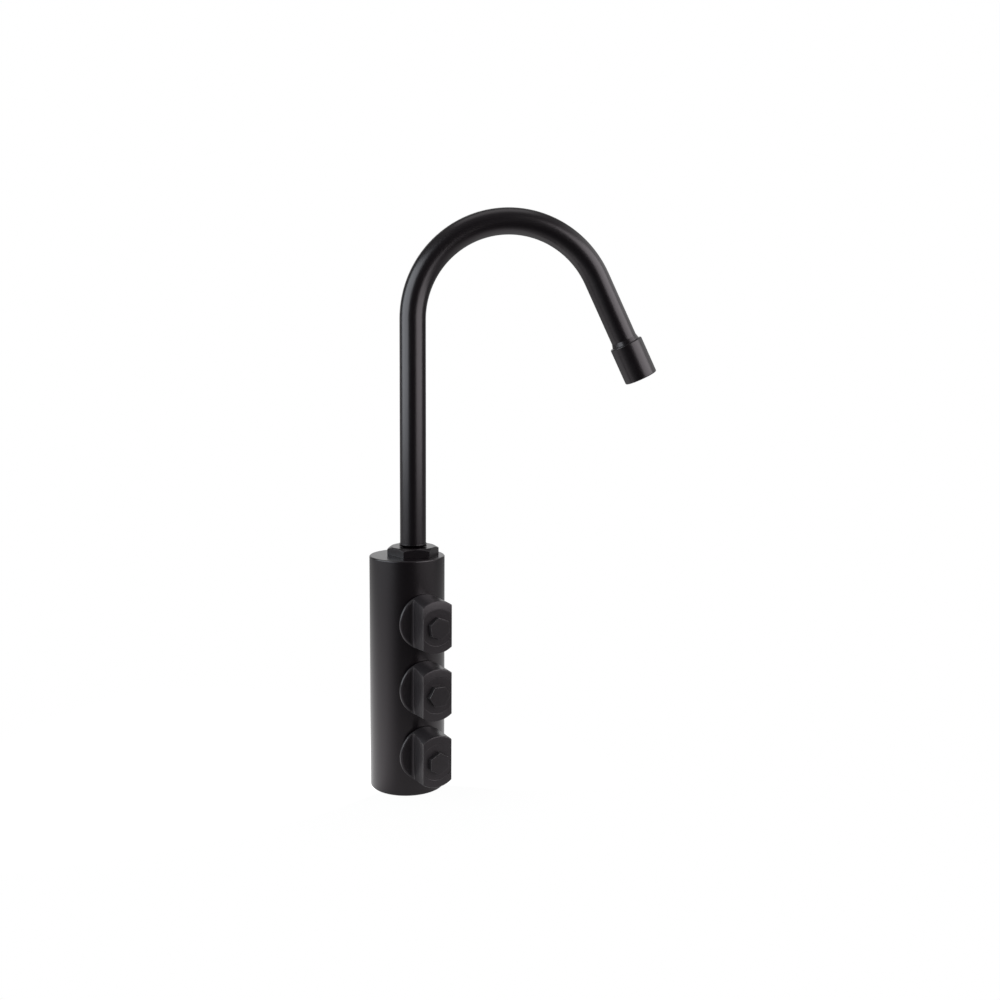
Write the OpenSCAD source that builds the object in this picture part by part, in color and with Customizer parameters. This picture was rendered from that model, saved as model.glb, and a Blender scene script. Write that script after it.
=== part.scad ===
// Three-way water tap for a worktop: a drilled round body with three quarter-turn
// valves on one side and a swan-neck spout that swivels in its top. Mains water
// runs in the spout tube and filtered water in a liner inside it.
// The origin is the centre of the base, +Z is up and the spout points along +X.

/* [Body] */
// Diameter of the body
body_d = 45; // [44:0.5:52]
// Height of the body above the upper valve
top_room = 36; // [35:1:54]
// Rounding of the body's top rim
body_edge = 0.8; // [0.3:0.1:1.5]
// Bevel around the body's foot
foot_bevel = 0.5; // [0.2:0.1:1]

/* [Valves] */
// Turn from the spout to the valves, seen from above
valve_turn = 67; // [50:1:90]
// Height of the lowest valve
valve_low = 26; // [25:0.5:28]
// Spacing of the valves
valve_pitch = 40; // [37:0.5:42]
// Diameter of a valve's threaded bore
valve_bore_d = 20; // [19:0.5:20.5]
// Diameter of the seat pocket at the bottom of a valve's bore
pocket_d = 17; // [16.6:0.1:17.6]
// Depth of the valve's floor behind the body's centre
floor_depth = 12; // [11:0.5:12]
// Quarter turn of a valve from shut to open
valve_travel = 90; // [60:5:90]
// Diameter of the spindle
spindle_d = 9.6; // [9:0.1:10]

/* [Knobs] */
// Diameter of a knob at its flange
knob_d = 31.8; // [31:0.1:34]
// Diameter of a knob's front face
knob_face_d = 31; // [29:0.2:31.6]
// Length of a knob
knob_l = 18.5; // [16:0.1:20]
// Thickness of a knob's flange
flange_t = 1.8; // [1.4:0.1:3.2]
// Width of the grip between its milled sides, at the face
grip_w = 18.2; // [17.4:0.1:21]
// Width of the grip where it stands on the flange
grip_foot_w = 15.4; // [15:0.1:17.2]
// Rounding between flange and grip
grip_fillet = 1; // [0.5:0.1:2]
// Clearance between a knob and the body
knob_gap = 0.5; // [0.4:0.1:1.6]
// Diameter of the round seat for the screw head
screw_seat_d = 21.4; // [17:0.2:23]
// Width of the screw's hexagon head across its flats
screw_af = 11.4; // [9:0.2:12.6]
// Height of the screw's head
screw_head_h = 3.2; // [2.6:0.1:4.5]
// Turn of the upper, middle and lower screw heads
screw_turns = [8, 30, 0];

/* [Spout] */
// Distance of the spout's axis from the body's centre
spout_off = 3.6; // [2:0.1:4]
// Diameter of the spout tube
tube_d = 15.5; // [15:0.1:16]
// Wall of the spout tube
tube_wall = 1; // [0.8:0.1:1.2]
// Radius of the swan neck, along the tube's centre
bend_r = 57.5; // [45:0.5:75]
// Height at which the swan neck starts
bend_z = 281.5; // [220:0.5:330]
// Angle that the swan neck turns through
bend_angle = 154; // [120:1:170]
// Straight length of tube after the bend
leg_l = 45; // [35:0.5:60]
// Width of the gland nut across its flats
nut_af = 27; // [26:0.5:30]
// Height of the gland nut
nut_h = 5.4; // [4.6:0.1:7]
// Turn of the gland nut
nut_turn = 6; // [0:1:59]
// Diameter of the spout's neck where it passes the nut
neck_d = 12; // [11.6:0.1:12.4]
// Diameter of the spout's foot in its socket
foot_d = 17.9; // [17:0.1:18]
// Outer diameter of the filtered water liner
liner_d = 6; // [5.5:0.1:6.4]
// Wall of the filtered water liner
liner_wall = 1; // [0.8:0.1:1.2]

/* [Outlet] */
// Diameter of the outlet shell
outlet_d = 19.4; // [19:0.1:22]
// Length of the outlet shell
outlet_l = 22.8; // [20:0.1:30]
// Bevel at both ends of the outlet shell
outlet_bevel = 0.7; // [0.3:0.1:1]
// Length of the flared collar that shows above the shell
collar_l = 2.4; // [1.5:0.1:5]
// Number of jets around the filtered water nozzle
jets = 10; // [6:1:12]

/* [Base] */
// Radius of the circle on which the hose ports lie
port_circle_r = 12.2; // [11.8:0.1:12.4]
// Drilled diameter of a hose port, for an M10 fine thread
port_d = 9; // [8.6:0.1:9.2]
// Depth of a hose port
port_l = 10; // [8:0.5:10]
// Drilled diameter of the fixing hole, for an M8 stud
stud_d = 6.8; // [6:0.1:7.4]
// Depth of the fixing hole
stud_l = 12; // [10:0.5:12]
// Width of the rubber ring in the base
seal_w = 2.4; // [1.8:0.1:2.6]
// Thickness of the rubber ring in the base
seal_t = 1.6; // [1:0.1:2.5]

/* [Hidden] */
$fn = 96;
body_r = body_d / 2;
slack = 0.05;
overcut = 1;
valve_heights = [valve_low + 2 * valve_pitch, valve_low + valve_pitch, valve_low];
body_h = valve_heights[0] + top_room;
knob_w = body_r + knob_gap;

// valve bore, measured outwards from the body's centre line along the valve
bore_r = valve_bore_d / 2;
pocket_r = pocket_d / 2;
floor_w = -floor_depth;
spot_r = bore_r + 2;
spot_w = sqrt(body_r * body_r - spot_r * spot_r);
seat_t = 2;
fixed_t = 3.5;
moving_t = 3;
pocket_step = 8;
pocket_w = floor_w + pocket_step;
fixed_w = floor_w + seat_t;
moving_w = fixed_w + fixed_t;
skirt_end = moving_w;
skirt_r = pocket_r - 0.1;
cavity_r = pocket_r - 1;
tongue_h = 1.4;
tongue_w = 3;
tongue_l = 10;
foot_w = moving_w + moving_t + 0.1;
foot_t = 3.4;
cavity_end = foot_w + foot_t + 1;
waist_end = 8;
waist_r = bore_r - 1.2;
window_w = 7;
washer_t = 1;
hex_w = spot_w + washer_t;
hex_h = knob_w - 0.3 - hex_w;
hex_af = valve_bore_d;
spindle_r = spindle_d / 2;
neck_wall = 1.4;
neck_r = spindle_r + slack + neck_wall;
neck_end = hex_w + hex_h + 3.6;
stop_h = 1.5;
stop_lug = 40;
stop_play = 2;
spindle_oring = 0.8;
spindle_ring_w = [cavity_end + 4, cavity_end + 9];

// knob, measured outwards along the valve
face_w = knob_w + knob_l;
grip_floor_w = knob_w + flange_t;
pocket_top_w = neck_end + stop_h + 0.6;
knob_pocket_r = neck_r + 0.5;
shank_end = pocket_top_w + 8;
socket_end = shank_end + 0.2;
flat_af = spindle_d - 1.6;
crown_r = 110;
face_round = 0.8;
flange_round = 0.8;
back_bevel = 0.3;
grip_lean = (grip_w - grip_foot_w) / 2 / (face_w - grip_floor_w);
seat_sink = 0.4;
crown_drop = crown_r - sqrt(crown_r * crown_r - pow(screw_seat_d / 2, 2));
seat_w = face_w - crown_drop - seat_sink;
screw_d = 6;
screw_l = seat_w - pocket_top_w + 3;

// spout foot and its socket in the body's top
socket_floor = 16;
socket_z = valve_heights[0] + socket_floor;
socket_depth = body_h - socket_z;
foot_r = foot_d / 2;
socket_r = foot_r + slack;
sump_h = 2.6;
nut_thread_l = 6;
nut_thread_r = foot_r + 1.9;
ring_t = 1.5;
foot_z = socket_z + sump_h;
shoulder_z = body_h - nut_thread_l - ring_t - 0.1;
spout_ring_z = [for (share = [0.245, 0.653]) foot_z + share * (shoulder_z - foot_z)];
spout_oring = 0.95;
neck_pass_r = neck_d / 2 + 0.1;
lip_gap = 1.2;
tube_r = tube_d / 2;
tube_bore_r = tube_r - tube_wall;
lip_r = tube_r + 0.55;
lip_h = 0.5;
cone_h = lip_r - neck_d / 2;
lip_z = body_h + nut_h + lip_gap;
tube_z = lip_z + lip_h;
spigot_h = 7;
stem_bore_r = neck_d / 2 - 1.1;
liner_r = liner_d / 2;
liner_bore_r = liner_r - liner_wall;
liner_z = socket_z - 4;

// waterways, as places across the valve axes
gallery_r = 2.2;
supply_w = -16;
supply_h = [0, 5.5, -5.5];
supply_inlet_h = [0, 4, -4];
supply_z = port_l + 3;
mains_r = 2.3;
mains_reach = 6.1;
filtered_w = 4;
filtered_h = body_r - 8.5;
spout_w = spout_off * cos(valve_turn);
spout_h = spout_off * sin(valve_turn);

// outlet, measured along the tube from the end of the bend
outlet_r = outlet_d / 2;
shell_u = leg_l - 3;
shell_end = shell_u + outlet_l;
shell_wall = 1;
shell_bore_r = outlet_r - shell_wall;
collar_r = tube_r + 0.7;
collar_u = shell_u - collar_l;
collar_end = leg_l + 3;
washer_u = collar_end;
aerator_washer_t = 1.5;
insert_u = washer_u + aerator_washer_t;
ledge_t = 1.4;
ledge_r = shell_bore_r - 1.3;
insert_end = shell_end - ledge_t;
nozzle_end = shell_end - 0.4;
insert_r = shell_bore_r - slack;
screen_t = 0.4;
jet_r = 0.9;

// base
seal_r = body_r - 1.4;
port_turn = 180;

black_coat = [0.13, 0.13, 0.14];
brass = [0.78, 0.62, 0.32];
rubber = [0.08, 0.08, 0.08];
ceramic = [0.93, 0.92, 0.88];
plastic = [0.30, 0.31, 0.33];
steel = [0.70, 0.71, 0.73];

// Puts a shape drawn along +Z on the axis of a valve, outwards
module at_valve(height) {
  translate([0, 0, height]) rotate([0, 0, -valve_turn]) rotate([0, 90, 0]) children();
}

// Turns a shape drawn with the valves facing +X
module across_valves() {
  rotate([0, 0, -valve_turn]) children();
}

module at_spout() {
  translate([spout_off, 0, 0]) children();
}

// Puts a shape drawn along +Z on the straight leg after the bend
module at_leg() {
  translate([spout_off + bend_r - bend_r * cos(bend_angle), 0, bend_z + bend_r * sin(bend_angle)])
    rotate([0, bend_angle, 0]) children();
}

// A drilling of one radius from one point to another
module drilling(from, to, r) {
  run = to - from;
  length = norm(run);
  lean = acos(run[2] / length);
  turn = atan2(run[1], run[0]);
  translate(from) rotate([0, lean, turn]) cylinder(r = r, h = length);
}

// A flat ring drawn along +Z
module ring(outer_r, inner_r, from, height) {
  translate([0, 0, from]) difference() {
    cylinder(r = outer_r, h = height);
    translate([0, 0, -overcut]) cylinder(r = inner_r, h = height + 2 * overcut);
  }
}

// A round ring of round section
module oring(middle_r, section_r, height) {
  translate([0, 0, height]) rotate_extrude() translate([middle_r, 0]) circle(r = section_r);
}

// The room that a turned groove takes from a shaft
module groove(shaft_r, floor_r, width, height) {
  ring(shaft_r + overcut, floor_r, height - width / 2, width);
}

// A round bar with a rounded top rim and a bevelled foot
module rounded_bar(r, h, rim, bevel) {
  rotate_extrude() {
    polygon([[0, 0], [r - bevel, 0], [r, bevel], [r, h - rim], [0, h - rim]]);
    square([r - rim, h]);
    translate([r - rim, h - rim]) circle(r = rim);
  }
}

// Everything that a valve takes out of the body
module valve_cavity(inlet_h) {
  translate([0, 0, spot_w]) cylinder(r = spot_r, h = body_r);
  translate([0, 0, pocket_w]) cylinder(r = bore_r, h = body_r - pocket_w);
  translate([0, 0, floor_w]) cylinder(r = pocket_r, h = pocket_step + overcut);
  translate([0, inlet_h, supply_w]) cylinder(r = gallery_r - 0.2, h = overcut + floor_w - supply_w);
}

// Supply ways from the three hose ports up to the valves' floors
module supply_ways() {
  for (i = [0:2]) {
    port_angle = port_turn - 120 * i;
    port = [port_circle_r * cos(port_angle), port_circle_r * sin(port_angle), port_l - 1.5];
    foot = [supply_w, supply_h[i], supply_z];
    top = valve_heights[i] + gallery_r;
    across_valves() {
      translate([port[0], port[1], -overcut]) cylinder(r = port_d / 2, h = port_l + overcut);
      drilling(port, foot, gallery_r);
      translate([supply_w, supply_h[i], supply_z - 1]) cylinder(r = gallery_r, h = top - supply_z + 1);
    }
  }
}

// The way that joins the upper and middle valves to the spout, and the
// separate way that takes filtered water from the lower valve to the liner
module delivery_ways() {
  across_valves() {
    translate([spout_w, spout_h - mains_reach, valve_heights[1]])
      cylinder(r = mains_r, h = socket_z + overcut - valve_heights[1]);
    translate([filtered_w, filtered_h, valve_heights[2]])
      cylinder(r = gallery_r, h = liner_z + 1.9 - valve_heights[2]);
    drilling([filtered_w, bore_r - 2, valve_heights[2]], [filtered_w, filtered_h, valve_heights[2]],
      gallery_r - 0.3);
    drilling([filtered_w, filtered_h, liner_z + 0.2], [spout_w, spout_h, liner_z + 0.2],
      gallery_r - 0.4);
  }
}

// Socket, thread and liner hole for the spout
module spout_socket() {
  at_spout() {
    translate([0, 0, socket_z]) cylinder(r = socket_r, h = socket_depth + overcut);
    translate([0, 0, body_h - nut_thread_l - 0.3])
      cylinder(r = nut_thread_r + slack, h = nut_thread_l + overcut);
    translate([0, 0, liner_z - 1.6]) cylinder(r = liner_r + slack, h = socket_z - liner_z + 2);
  }
}

module tap_body() {
  color(black_coat) difference() {
    rounded_bar(body_r, body_h, body_edge, foot_bevel);
    for (i = [0:2]) at_valve(valve_heights[i]) valve_cavity(supply_inlet_h[i]);
    supply_ways();
    delivery_ways();
    spout_socket();
    translate([0, 0, -overcut]) cylinder(r = stud_d / 2, h = stud_l + overcut);
    ring(seal_r, seal_r - seal_w, -overcut, seal_t + overcut);
  }
}

module base_seal() {
  color(rubber) ring(seal_r, seal_r - seal_w, 0, seal_t);
}

module spout_nut() {
  hex_r = nut_af / sqrt(3);
  chamfer = hex_r - nut_af / 2 + 0.4;
  color(black_coat) at_spout() difference() {
    union() {
      translate([0, 0, body_h]) intersection() {
        rotate([0, 0, nut_turn]) cylinder(r = hex_r, h = nut_h, $fn = 6);
        rotate_extrude() polygon([
          [0, 0], [hex_r + overcut, 0], [hex_r + overcut, nut_h - chamfer * 0.58 - overcut * 0.58],
          [hex_r - chamfer, nut_h], [0, nut_h]
        ]);
      }
      translate([0, 0, body_h - nut_thread_l]) cylinder(r = nut_thread_r, h = nut_thread_l);
    }
    translate([0, 0, body_h - nut_thread_l - overcut])
      cylinder(r = neck_pass_r, h = nut_thread_l + nut_h + 2 * overcut);
    rotate_extrude() polygon([
      [0, lip_z - cone_h - 2 * lip_gap], [neck_pass_r, lip_z - cone_h - 1.2 * lip_gap],
      [neck_pass_r + cone_h + 2, lip_z - 1.2 * lip_gap + 2], [0, lip_z + 2]
    ]);
  }
}

module thrust_ring() {
  color(ceramic) at_spout() ring(foot_r - 0.1, neck_pass_r, body_h - nut_thread_l - ring_t, ring_t);
}

module spout_stem() {
  groove_floor = foot_r - 2 * spout_oring;
  color(black_coat) at_spout() difference() {
    rotate_extrude() polygon([
      [stem_bore_r, foot_z], [foot_r - 0.6, foot_z], [foot_r, foot_z + 0.6],
      [foot_r, shoulder_z], [neck_d / 2, shoulder_z], [neck_d / 2, lip_z - cone_h],
      [lip_r, lip_z], [lip_r, tube_z], [tube_bore_r - slack, tube_z],
      [tube_bore_r - slack, tube_z + spigot_h], [stem_bore_r, tube_z + spigot_h]
    ]);
    for (z = spout_ring_z) groove(foot_r, groove_floor, 2 * spout_oring + 0.3, z);
  }
}

module spout_orings() {
  color(rubber) at_spout() for (z = spout_ring_z) oring(foot_r - spout_oring + 0.02, spout_oring, z);
}

// A tube that follows the spout's line from its foot to a length along the leg.
// The leg laps a hair into the end of the bend, inside its wall, so they are one.
module swan_neck(outer_r, inner_r, from_z, leg) {
  lap = 0.3;
  hair = 0.03;
  at_spout() ring(outer_r, inner_r, from_z, bend_z - from_z);
  translate([spout_off + bend_r, 0, bend_z]) rotate([90, 0, 0])
    rotate_extrude(angle = bend_angle, start = 180 - bend_angle) translate([bend_r, 0])
      difference() {
        circle(r = outer_r);
        circle(r = inner_r);
      }
  at_leg() ring(outer_r - hair, inner_r + hair, -lap, leg + lap);
}

module spout_tube() {
  color(black_coat) swan_neck(tube_r, tube_bore_r, tube_z, leg_l);
}

module filtered_liner() {
  color(plastic) swan_neck(liner_r, liner_bore_r, liner_z, insert_u + 3);
}

module outlet_collar() {
  thread_r = shell_bore_r - slack;
  color(black_coat) at_leg() rotate_extrude() polygon([
    [tube_r + slack, collar_u], [tube_r + 0.15, collar_u], [collar_r, shell_u],
    [thread_r, shell_u], [thread_r, collar_end], [tube_bore_r, collar_end],
    [tube_bore_r, leg_l], [tube_r + slack, leg_l]
  ]);
}

module aerator_housing() {
  color(black_coat) at_leg() rotate_extrude() polygon([
    [shell_bore_r, shell_u], [outlet_r - outlet_bevel, shell_u], [outlet_r, shell_u + outlet_bevel],
    [outlet_r, shell_end - outlet_bevel], [outlet_r - outlet_bevel, shell_end],
    [ledge_r, shell_end], [ledge_r, insert_end], [shell_bore_r, insert_end]
  ]);
}

module aerator_washer() {
  color(rubber) at_leg() ring(insert_r, tube_bore_r - 0.6, washer_u, aerator_washer_t);
}

module aerator_screen() {
  color(steel) at_leg()
    ring(tube_bore_r - 0.7, liner_r + slack, insert_u - screen_t, screen_t);
}

module aerator_insert() {
  color(plastic) at_leg() difference() {
    union() {
      translate([0, 0, insert_u]) cylinder(r = insert_r, h = insert_end - insert_u);
      translate([0, 0, insert_end]) cylinder(r = ledge_r - slack, h = nozzle_end - insert_end);
    }
    translate([0, 0, insert_u - overcut]) cylinder(r = liner_r + slack, h = 3 + overcut);
    translate([0, 0, insert_u]) cylinder(r = liner_bore_r, h = outlet_l);
    for (i = [0:jets - 1]) rotate([0, 0, i * 360 / jets])
      translate([(liner_r + ledge_r) / 2, 0, insert_u - overcut]) cylinder(r = jet_r, h = outlet_l);
  }
}

// A pie slice drawn along +Z, used for the valve's end stops
module sector(r, start, sweep, height) {
  steps = [start, start + sweep / 2, start + sweep];
  linear_extrude(height) polygon(concat([[0, 0]], [for (a = steps) [r * cos(a), r * sin(a)]]));
}

// Brass headwork: it screws into the body, holds the discs and carries the spindle
module bonnet() {
  hex_r = hex_af / sqrt(3);
  stop_open = valve_travel + stop_lug + stop_play;
  difference() {
    union() {
      translate([0, 0, skirt_end]) cylinder(r = skirt_r, h = cavity_end - skirt_end);
      translate([0, 0, pocket_w + 0.3]) cylinder(r = waist_r, h = waist_end - pocket_w);
      translate([0, 0, waist_end]) cylinder(r = bore_r - slack, h = hex_w - waist_end);
      translate([0, 0, hex_w]) cylinder(r = hex_r, h = hex_h, $fn = 6);
      translate([0, 0, hex_w]) cylinder(r = neck_r, h = neck_end + stop_h - hex_w);
    }
    translate([0, 0, skirt_end - overcut]) cylinder(r = cavity_r, h = cavity_end - skirt_end + overcut);
    cylinder(r = spindle_r + slack, h = face_w);
    translate([-waist_r - overcut, -window_w / 2, pocket_w + 1])
      cube([2 * waist_r + 2 * overcut, window_w, 5]);
    translate([0, 0, neck_end])
      sector(2 * neck_r, 180 - stop_lug / 2 - stop_play / 2, stop_open, stop_h + overcut);
  }
}

module bonnet_washer() {
  ring(spot_r - 0.4, bore_r, spot_w, washer_t);
}

module seat_seal() {
  ring(pocket_r - 0.1, pocket_r - 2.4, floor_w, seat_t);
}

// Ceramic disc that stays still, with two openings
module fixed_disc() {
  difference() {
    translate([0, 0, fixed_w]) cylinder(r = skirt_r, h = fixed_t);
    for (side = [-1, 1]) translate([0, side * cavity_r / 2, fixed_w - overcut])
      cylinder(r = cavity_r / 3, h = fixed_t + 2 * overcut);
  }
}

// Ceramic disc that turns, with two openings and a slot for the spindle's tongue
module moving_disc() {
  difference() {
    translate([0, 0, moving_w + 0.02]) cylinder(r = cavity_r - 0.2, h = moving_t);
    for (side = [-1, 1]) translate([side * cavity_r / 2, 0, moving_w - overcut])
      cylinder(r = cavity_r / 3, h = moving_t + 2 * overcut);
    translate([-tongue_w / 2 - 0.1, -tongue_l / 2 - 0.1, foot_w - tongue_h - 0.2])
      cube([tongue_w + 0.2, tongue_l + 0.2, tongue_h + overcut]);
  }
}

// A round shank with two flats
module flatted_shank(r, af, from, to) {
  intersection() {
    translate([0, 0, from]) cylinder(r = r, h = to - from);
    translate([-af / 2, -r - overcut, from]) cube([af, 2 * r + 2 * overcut, to - from]);
  }
}

module spindle() {
  lug_r = neck_r - 0.1;
  difference() {
    union() {
      translate([-tongue_w / 2, -tongue_l / 2, foot_w - tongue_h]) cube([tongue_w, tongue_l, tongue_h + 1]);
      translate([0, 0, foot_w]) cylinder(r = cavity_r - 0.3, h = foot_t);
      translate([0, 0, foot_w]) cylinder(r = spindle_r, h = neck_end + stop_h - foot_w);
      flatted_shank(spindle_r, flat_af, neck_end + stop_h - 0.5, shank_end);
      translate([0, 0, neck_end + 0.1]) intersection() {
        cylinder(r = lug_r, h = stop_h - 0.1);
        sector(2 * lug_r, 180 - stop_lug / 2, stop_lug, stop_h);
      }
    }
    for (w = spindle_ring_w) groove(spindle_r, spindle_r - 1.6, 2 * spindle_oring + 0.3, w);
    translate([0, 0, pocket_top_w - 5]) cylinder(r = screw_d / 2, h = shank_end);
  }
}

module spindle_orings() {
  for (w = spindle_ring_w) oring(spindle_r - spindle_oring, spindle_oring, w);
}

// The outline of a knob before its sides are milled, from its axis outwards,
// with the screw's seat, the screw's hole and the room for the bonnet's neck
module knob_outline() {
  flange_r = knob_d / 2;
  face_r = knob_face_d / 2;
  difference() {
    intersection() {
      union() {
        polygon([
          [0, knob_w], [flange_r - back_bevel, knob_w], [flange_r, knob_w + back_bevel],
          [flange_r, grip_floor_w], [face_r, face_w - 2 * face_round], [0, face_w - 2 * face_round]
        ]);
        translate([0, knob_w]) square([face_r - face_round, knob_l + overcut]);
        translate([face_r - face_round, face_w - 2 * face_round]) circle(r = face_round);
      }
      translate([0, face_w - crown_r]) circle(r = crown_r, $fn = 720);
    }
    translate([0, seat_w]) square([screw_seat_d / 2, knob_l]);
    translate([0, knob_w - overcut]) square([knob_pocket_r, pocket_top_w - knob_w + overcut]);
    square([screw_d / 2 + 0.2, seat_w + overcut]);
  }
}

// What one pass of the mill takes from the side of a knob: the wall leans
// outwards to the face, and a rounding joins it to the flange
module side_cut() {
  foot = grip_foot_w / 2;
  slant = sqrt(1 + grip_lean * grip_lean);
  middle = [foot + grip_fillet * (grip_lean + slant), grip_floor_w + grip_fillet];
  touch = [middle[0] - grip_fillet / slant, middle[1] + grip_fillet * grip_lean / slant];
  top = face_w + overcut;
  difference() {
    polygon([
      [foot, grip_floor_w], [knob_d, grip_floor_w],
      [knob_d, top], [foot + grip_lean * (top - grip_floor_w), top]
    ]);
    difference() {
      polygon([
        [foot - overcut, grip_floor_w - overcut], [middle[0], grip_floor_w - overcut],
        middle, touch, [foot - overcut, touch[1]]
      ]);
      translate(middle) circle(r = grip_fillet);
    }
  }
}

// What a turned rounding takes from the rim of a knob's flange
module rim_cut() {
  rim_r = knob_d / 2 - flange_round;
  rim_w = grip_floor_w - flange_round;
  rotate_extrude() difference() {
    translate([rim_r, rim_w]) square([flange_round + overcut, flange_round + slack]);
    translate([rim_r, rim_w]) circle(r = flange_round);
  }
}

module knob() {
  difference() {
    rotate_extrude() knob_outline();
    for (side = [0, 1]) mirror([0, side, 0]) {
      rotate([90, 0, 90]) linear_extrude(2 * knob_d, center = true) side_cut();
      intersection() {
        rim_cut();
        translate([-knob_d, grip_foot_w / 2, knob_w]) cube([2 * knob_d, knob_d, knob_l]);
      }
    }
    flatted_shank(spindle_r + slack, flat_af + 2 * slack, pocket_top_w - overcut, socket_end);
  }
}

// Hexagon-head screw with a washer face under its head
module knob_screw(turn) {
  hex_r = screw_af / sqrt(3);
  chamfer_h = 0.5;
  translate([0, 0, seat_w]) intersection() {
    rotate([0, 0, turn]) cylinder(r = hex_r, h = screw_head_h, $fn = 6);
    rotate_extrude() polygon([
      [0, 0], [hex_r + 1, 0], [hex_r + 1, screw_head_h - chamfer_h - 0.58],
      [hex_r - chamfer_h / 0.58, screw_head_h], [0, screw_head_h]
    ]);
  }
  translate([0, 0, seat_w - screw_l]) cylinder(r = screw_d / 2 - slack, h = screw_l);
}

module valve_bonnet(i) { color(brass) at_valve(valve_heights[i]) bonnet(); }
module valve_bonnet_washer(i) { color(rubber) at_valve(valve_heights[i]) bonnet_washer(); }
module valve_seat_seal(i) { color(rubber) at_valve(valve_heights[i]) seat_seal(); }
module valve_fixed_disc(i) { color(ceramic) at_valve(valve_heights[i]) fixed_disc(); }
module valve_moving_disc(i) { color(ceramic) at_valve(valve_heights[i]) moving_disc(); }
module valve_spindle(i) { color(brass) at_valve(valve_heights[i]) spindle(); }
module valve_spindle_orings(i) { color(rubber) at_valve(valve_heights[i]) spindle_orings(); }
module valve_knob(i) { color(black_coat) at_valve(valve_heights[i]) knob(); }
module valve_knob_screw(i) { color(black_coat) at_valve(valve_heights[i]) knob_screw(screw_turns[i]); }

tap_body();
base_seal();
spout_nut();
thrust_ring();
spout_stem();
spout_orings();
spout_tube();
filtered_liner();
outlet_collar();
aerator_housing();
aerator_washer();
aerator_screen();
aerator_insert();
valve_bonnet(0);  // upper_bonnet
valve_bonnet_washer(0);  // upper_bonnet_washer
valve_seat_seal(0);  // upper_seat_seal
valve_fixed_disc(0);  // upper_fixed_disc
valve_moving_disc(0);  // upper_moving_disc
valve_spindle(0);  // upper_spindle
valve_spindle_orings(0);  // upper_spindle_orings
valve_knob(0);  // upper_knob
valve_knob_screw(0);  // upper_knob_screw
valve_bonnet(1);  // middle_bonnet
valve_bonnet_washer(1);  // middle_bonnet_washer
valve_seat_seal(1);  // middle_seat_seal
valve_fixed_disc(1);  // middle_fixed_disc
valve_moving_disc(1);  // middle_moving_disc
valve_spindle(1);  // middle_spindle
valve_spindle_orings(1);  // middle_spindle_orings
valve_knob(1);  // middle_knob
valve_knob_screw(1);  // middle_knob_screw
valve_bonnet(2);  // lower_bonnet
valve_bonnet_washer(2);  // lower_bonnet_washer
valve_seat_seal(2);  // lower_seat_seal
valve_fixed_disc(2);  // lower_fixed_disc
valve_moving_disc(2);  // lower_moving_disc
valve_spindle(2);  // lower_spindle
valve_spindle_orings(2);  // lower_spindle_orings
valve_knob(2);  // lower_knob
valve_knob_screw(2);  // lower_knob_screw
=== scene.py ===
import math

import bpy
from mathutils import Matrix, Vector


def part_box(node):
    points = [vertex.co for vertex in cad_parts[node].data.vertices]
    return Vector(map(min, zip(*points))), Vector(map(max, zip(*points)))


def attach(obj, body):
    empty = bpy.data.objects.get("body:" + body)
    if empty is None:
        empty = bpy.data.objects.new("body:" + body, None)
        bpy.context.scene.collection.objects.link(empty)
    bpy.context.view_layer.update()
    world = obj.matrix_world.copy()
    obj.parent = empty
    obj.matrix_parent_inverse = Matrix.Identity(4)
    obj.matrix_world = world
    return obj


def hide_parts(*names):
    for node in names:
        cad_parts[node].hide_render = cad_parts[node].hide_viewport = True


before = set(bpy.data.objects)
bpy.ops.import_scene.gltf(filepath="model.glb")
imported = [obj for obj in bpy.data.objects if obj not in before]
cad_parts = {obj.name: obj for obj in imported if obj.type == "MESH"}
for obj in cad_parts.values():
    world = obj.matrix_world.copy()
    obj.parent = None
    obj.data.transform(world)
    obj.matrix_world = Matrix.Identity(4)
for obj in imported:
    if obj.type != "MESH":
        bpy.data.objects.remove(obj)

bl_info = {
    "name": "Three-way water tap",
    "version": (1, 0, 0),
    "blender": (4, 5, 0),
    "location": "View3D > Sidebar > Tap",
    "description": "Models and finishes a three-way water tap around its packed frame",
    "category": "Object",
}

MM = 0.001
CLOSE = 1e-6  # Points nearer than this, in metres, are one point
ARC_STEP = 12  # Degrees that one edge of a rounding turns through
BAR_REACH = 30  # Half the length of a bar that cuts a knob
BAND_STEPS = (-16, -8, 0, 8, 16)  # Rings of edges around the body, measured from each valve
RISE_STEPS = 6  # Rings of edges up the spout's straight foot
PORT_DEPTH, STUD_DEPTH = 10, 12
BLACK_TINGE = (1.0, 0.92, 0.97)  # Tinge of what the black finishes mirror
TO_CAMERA = (0.098, -0.995, 0)
LAMPS = {  # Place, point faced, width, height, watts and colour
    "left_softbox": ((-0.77, -0.22, 0.53), (0, 0, 0.53), 1.04, 0.8, 10.8, (0.88, 0.98, 1.0)),
    "right_softbox": ((0.662, -0.449, 0.5), (0, 0, 0.5), 0.85, 0.8, 6.4, (1, 1, 1)),
    "top_softbox": ((0, 0.1, 1.4), (0, 0.1, 0), 0.9, 0.7, 1.6, (1, 1, 1)),
}
VALVES = ("upper", "middle", "lower")
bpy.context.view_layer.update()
BODY_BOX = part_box("tap_body")


def length(name, description, default):
    """A size that a user can change, given here in millimetres."""
    return bpy.props.FloatProperty(
        name=name, description=description, default=default * MM, min=0,
        unit="LENGTH", subtype="DISTANCE", precision=5)


def degrees(name, description, default):
    """An angle that a user can change, given here in degrees."""
    return bpy.props.FloatProperty(
        name=name, description=description, default=math.radians(default),
        unit="ROTATION", subtype="ANGLE", precision=4)


def tint(name, place, default):
    """A colour that a user can change."""
    return bpy.props.FloatVectorProperty(
        name=name, description=f"Colour of the {place}", default=default, min=0, max=1,
        subtype="COLOR", size=3)


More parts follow.
